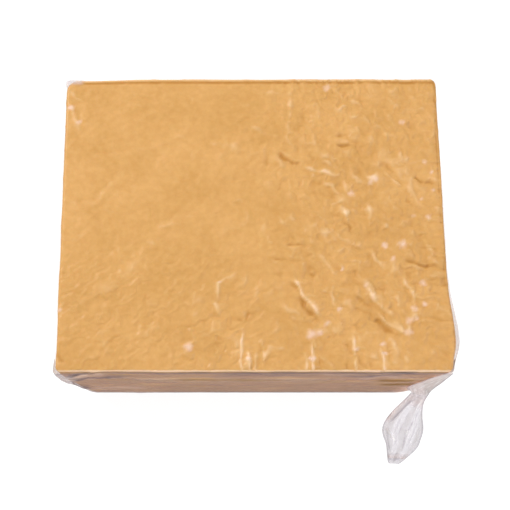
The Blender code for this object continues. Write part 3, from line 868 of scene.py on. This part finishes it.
# Marks on the loose film, as lines on the floor, with their width and strength: the grey creases are painted
# shade, with more layers of film also at the gathered tip, and the white ones painted glints
HEM_STRIP = [Fold(((167, -143), (153, -156), (138, -173)), 3.4, 1.0)]
GREY_SHADE_CREASES = [
    Fold(((176, -146), (165, -152), (154, -163), (143, -174)), 1.0, 1.0),
    Fold(((165, -139), (155, -152), (144, -164), (135, -175)), 0.9, 0.8),
    Fold(((199, -130), (186, -139), (176, -145)), 1.0, 0.7),
    Fold(((190, -134), (177, -143), (169, -150)), 0.8, 0.6),
    Fold(((178, -157), (167, -175), (160, -188), (155, -206)), 1.0, 0.7),
    Fold(((176, -168), (169, -184), (160, -200)), 0.9, 0.5),
    Fold(((157, -165), (151, -182), (150, -200)), 1.0, 0.4),
    Fold(((166, -160), (157, -177), (152, -187)), 0.9, 0.4),
    Fold(((141, -176), (142, -190), (144, -205)), 1.2, 0.6),
    Fold(((140, -210), (147, -211), (156, -210)), 1.5, 1.0),
    Fold(((144, -205), (149, -206), (154, -203)), 0.8, 0.6),
]
GLINT_CREASES = [
    Fold(((139, -176), (145, -186), (152, -194)), 1.2, 0.9),
    Fold(((163, -180), (161, -187)), 1.2, 1.0),
    Fold(((172, -160), (170, -176), (163, -194)), 1.2, 0.6),
    Fold(((181, -148), (174, -156), (170, -166)), 1.2, 0.6),
    Fold(((153, -172), (147, -196), (148, -206)), 1.0, 0.5),
    Fold(((176, -176), (172, -190), (162, -202)), 1.0, 0.5),
]


def smooth_rows(rows, count):
    """A Catmull-Rom curve through rows of numbers, read at evenly spaced steps along its length."""
    rows = np.array(rows, float)
    padded = np.vstack([2 * rows[0] - rows[1], rows, 2 * rows[-1] - rows[-2]])
    spots = np.linspace(0, len(rows) - 1, 40 * len(rows))
    index = np.minimum(spots.astype(int), len(rows) - 2)
    t = (spots - index)[:, None]
    a, b, c, d = (padded[index + offset] for offset in range(4))
    curve = 0.5 * (2 * b + (c - a) * t + (2 * a - 5 * b + 4 * c - d) * t**2 + (3 * (b - c) + d - a) * t**3)
    run = np.concatenate([[0], np.cumsum(np.linalg.norm(np.diff(curve[:, :3], axis=0), axis=1))])
    even = np.linspace(0, run[-1], count)
    return np.stack([np.interp(even, run, column) for column in curve.T], axis=1), even


def cut_tube(name):
    """A closed upright tube, cut round into END_AROUND and along into END_ALONG rows."""
    shape = bmesh.new()
    bmesh.ops.create_cone(shape, cap_ends=True, segments=END_AROUND, radius1=1, radius2=1, depth=1)
    upright = [edge for edge in shape.edges if abs(edge.verts[0].co.z - edge.verts[1].co.z) > 0.5]
    bmesh.ops.subdivide_edges(shape, edges=upright, cuts=END_ALONG - 2, use_grid_fill=True)
    bmesh.ops.recalc_face_normals(shape, faces=shape.faces)
    mesh = bpy.data.meshes.new(name)
    shape.to_mesh(mesh)
    shape.free()
    return mesh


def crease_mark(folds, flat_place, upper, height):
    """Strength of the leaf's creases: full on its upper layer, faint on the lower one, none up the web."""
    strength = sum(fold_height(fold, flat_place[:, 0], flat_place[:, 1]) for fold in folds)
    return np.where(upper, strength, 0.3 * strength) * smooth((40 - height) / 12)


def make_bag_end(material):
    """The empty end of the bag: a flattened tube of film, gathered at the neck and pleated out from it."""
    mesh = cut_tube("bag_end")
    unit = read_places(mesh)
    rows, run = smooth_rows(END_RINGS, END_ALONG)
    index = np.rint((0.5 - unit[:, 2]) * (END_ALONG - 1)).astype(int)
    angle = np.arctan2(unit[:, 1], unit[:, 0])
    centre, turn = rows[:, :3], np.radians(rows[:, 3])
    ahead = np.gradient(centre, axis=0)
    ahead /= np.linalg.norm(ahead, axis=1)[:, None]
    across = np.stack([np.cos(turn), np.sin(turn), np.zeros(len(rows))], axis=1)
    upward = np.cross(ahead, across)
    upward /= np.linalg.norm(upward, axis=1)[:, None]

    # Where each place lies: across the tube from -1 to 1, along it, on which layer, and on leaf or web
    share = 1 - 2 * np.abs(angle) / math.pi
    upper = angle > 0
    height = centre[index, 2]
    lies_flat = smooth((30 - height) / 24)
    half_width = rows[index, 4]
    length_here = run[index]
    flat_place = centre[index] + across[index] * (share * half_width)[:, None]
    # grey is painted shade along the creases, white painted glints on them
    grey = crease_mark(GREY_SHADE_CREASES, flat_place, upper, height)
    warm = crease_mark(HEM_STRIP, flat_place, upper, height)
    white = crease_mark(GLINT_CREASES, flat_place, upper, height)

    # Pleats, gathers and ripples over the leaf, and faint gathers up the web
    place = np.stack([share * half_width * 1.4, length_here * 0.16, np.where(upper, 0.0, 60.0)], axis=1)
    gathered = creases(place, 4.2, 51) - 0.3
    ripples = noise(place * (1, 2.2, 1), 5.0, 52)
    pleats = LEAF_PLEAT_RISE * np.cos(LEAF_PLEATS * math.pi * share + 0.05 * length_here)
    lift = lies_flat * smooth(half_width / 20) * (pleats + 0.3 * gathered + 0.3 * ripples)
    lift += (1 - lies_flat) * 0.2 * gathered + 0.5 * (white - grey)

    # Grey outer edges and troughs of painted shade, glints painted on the crests, a warm neck, and a web of
    # grey and white strands of painted shade and painted highlights
    widest = np.maximum(half_width, 3)
    edge = smooth((np.abs(share) - 1 + 2.2 / widest) * widest / 2.2)
    edge *= np.where(share > 0, 0.55 + 0.35 * (1 - lies_flat), 0.55 * lies_flat)
    neck = smooth((13 - half_width) / 4) * lies_flat * (length_here < NECK_END)
    strand_noise = noise(np.stack([7 * share, 0.03 * length_here, 0 * share], axis=1), 1.0, 53)
    web = (1 - lies_flat) * smooth((share + 1) / 0.3)
    web_glint = web * (0.15 + 0.4 * smooth(-2.4 * strand_noise))
    web_shade = 0.3 * web * smooth(2.4 * strand_noise)
    leaf_shade = 0.08 * smooth(-gathered - 0.05) * upper
    leaf_glint = 0.1 * smooth(gathered * 1.4) * upper * lies_flat
    paint(mesh, "grey", np.maximum.reduce([0.8 * grey, edge, leaf_shade, web_shade]))
    paint(mesh, "warm", np.maximum.reduce([warm, 0.6 * neck, web]))
    paint(mesh, "white", np.maximum.reduce([white, leaf_glint, web_glint]))

    thick = rows[index, 5] * np.sin(np.abs(angle)) ** 0.5 * np.where(upper, 1, -1)
    points = flat_place + upward[index] * (lift + thick)[:, None]
    points[:, 2] = np.maximum(points[:, 2], END_LOWEST)
    write_places(mesh, points * MM)
    thing = piece(mesh, material, ["film_bag_end"])
    thing.visible_shadow = False  # film this clear leaves no shadow that shows


# The camera stands where the photograph's does, and looks down at the top
CAMERA_PLACE = (0.0023, -0.2508, 1.0401)
CAMERA_TILT = 14.15  # degrees off straight down
CAMERA_LENS = 68.3
SENSOR_WIDTH = 36.0

# Soft round lamps: name, place, what each is aimed at, size and power, in metres and watts
LAMPS = [
    ("key", (-2.1, 1.54, 2.13), (0, 0, 0.1), 0.9, 93),
    ("overhead", (1.7, -0.1, 2.3), (0, 0, 0.1), 2.0, 40),
    ("front fill", (0.3, -2.2, 0.55), (0, 0, 0.08), 1.4, 19),
]
WORLD_STRENGTH = 0.26  # also sets how much haze the film shows at a grazing angle
FLOOR_SIZE = 4.0
FLOOR_GLOW = 0.85  # brings the floor up to blank white, as in the photograph


def place_camera():
    camera = bpy.data.cameras.new("camera")
    camera.lens = CAMERA_LENS
    camera.sensor_width = SENSOR_WIDTH
    thing = bpy.data.objects.new("camera", camera)
    thing.location = CAMERA_PLACE
    thing.rotation_euler = (math.radians(CAMERA_TILT), 0, 0)
    bpy.context.scene.collection.objects.link(thing)
    bpy.context.scene.camera = thing


def soft_lamp(name, place, aim, size, watts):
    lamp = bpy.data.lights.new(name, "AREA")
    lamp.shape = "DISK"
    lamp.size = size
    lamp.energy = watts
    thing = bpy.data.objects.new(name, lamp)
    thing.location = place
    way = Vector(aim) - Vector(place)
    thing.rotation_euler = way.to_track_quat("-Z", "Y").to_euler()
    bpy.context.scene.collection.objects.link(thing)


def light_the_studio():
    world = bpy.data.worlds.new("studio")
    world.use_nodes = True
    background = world.node_tree.nodes["Background"]
    background.inputs["Color"].default_value = linear("#FFFFFF")
    background.inputs["Strength"].default_value = WORLD_STRENGTH
    bpy.context.scene.world = world
    for lamp in LAMPS:
        soft_lamp(*lamp)


def lay_floor():
    """A plain white floor that comes out blank, as the photograph's does."""
    shape = bmesh.new()
    bmesh.ops.create_grid(shape, x_segments=8, y_segments=8, size=FLOOR_SIZE)
    mesh = bpy.data.meshes.new("floor")
    shape.to_mesh(mesh)
    shape.free()
    finish = {
        "Base Color": linear("#8C8C8C"),
        "Roughness": 0.9,
        "Emission Color": linear("#FFFFFF"),
        "Emission Strength": FLOOR_GLOW,
    }
    mesh.materials.append(new_material("white studio floor", finish)[0])
    floor = bpy.data.objects.new("floor", mesh)
    bpy.context.scene.collection.objects.link(floor)
    floor.visible_glossy = False  # keeps the blank floor out of the film's reflections


def main():
    bpy.context.scene.view_settings.view_transform = "Standard"
    place_camera()
    light_the_studio()
    lay_floor()
    make_cheese(cheddar_material())
    make_film(film_material())
    make_bag_end(loose_film_material())


main()
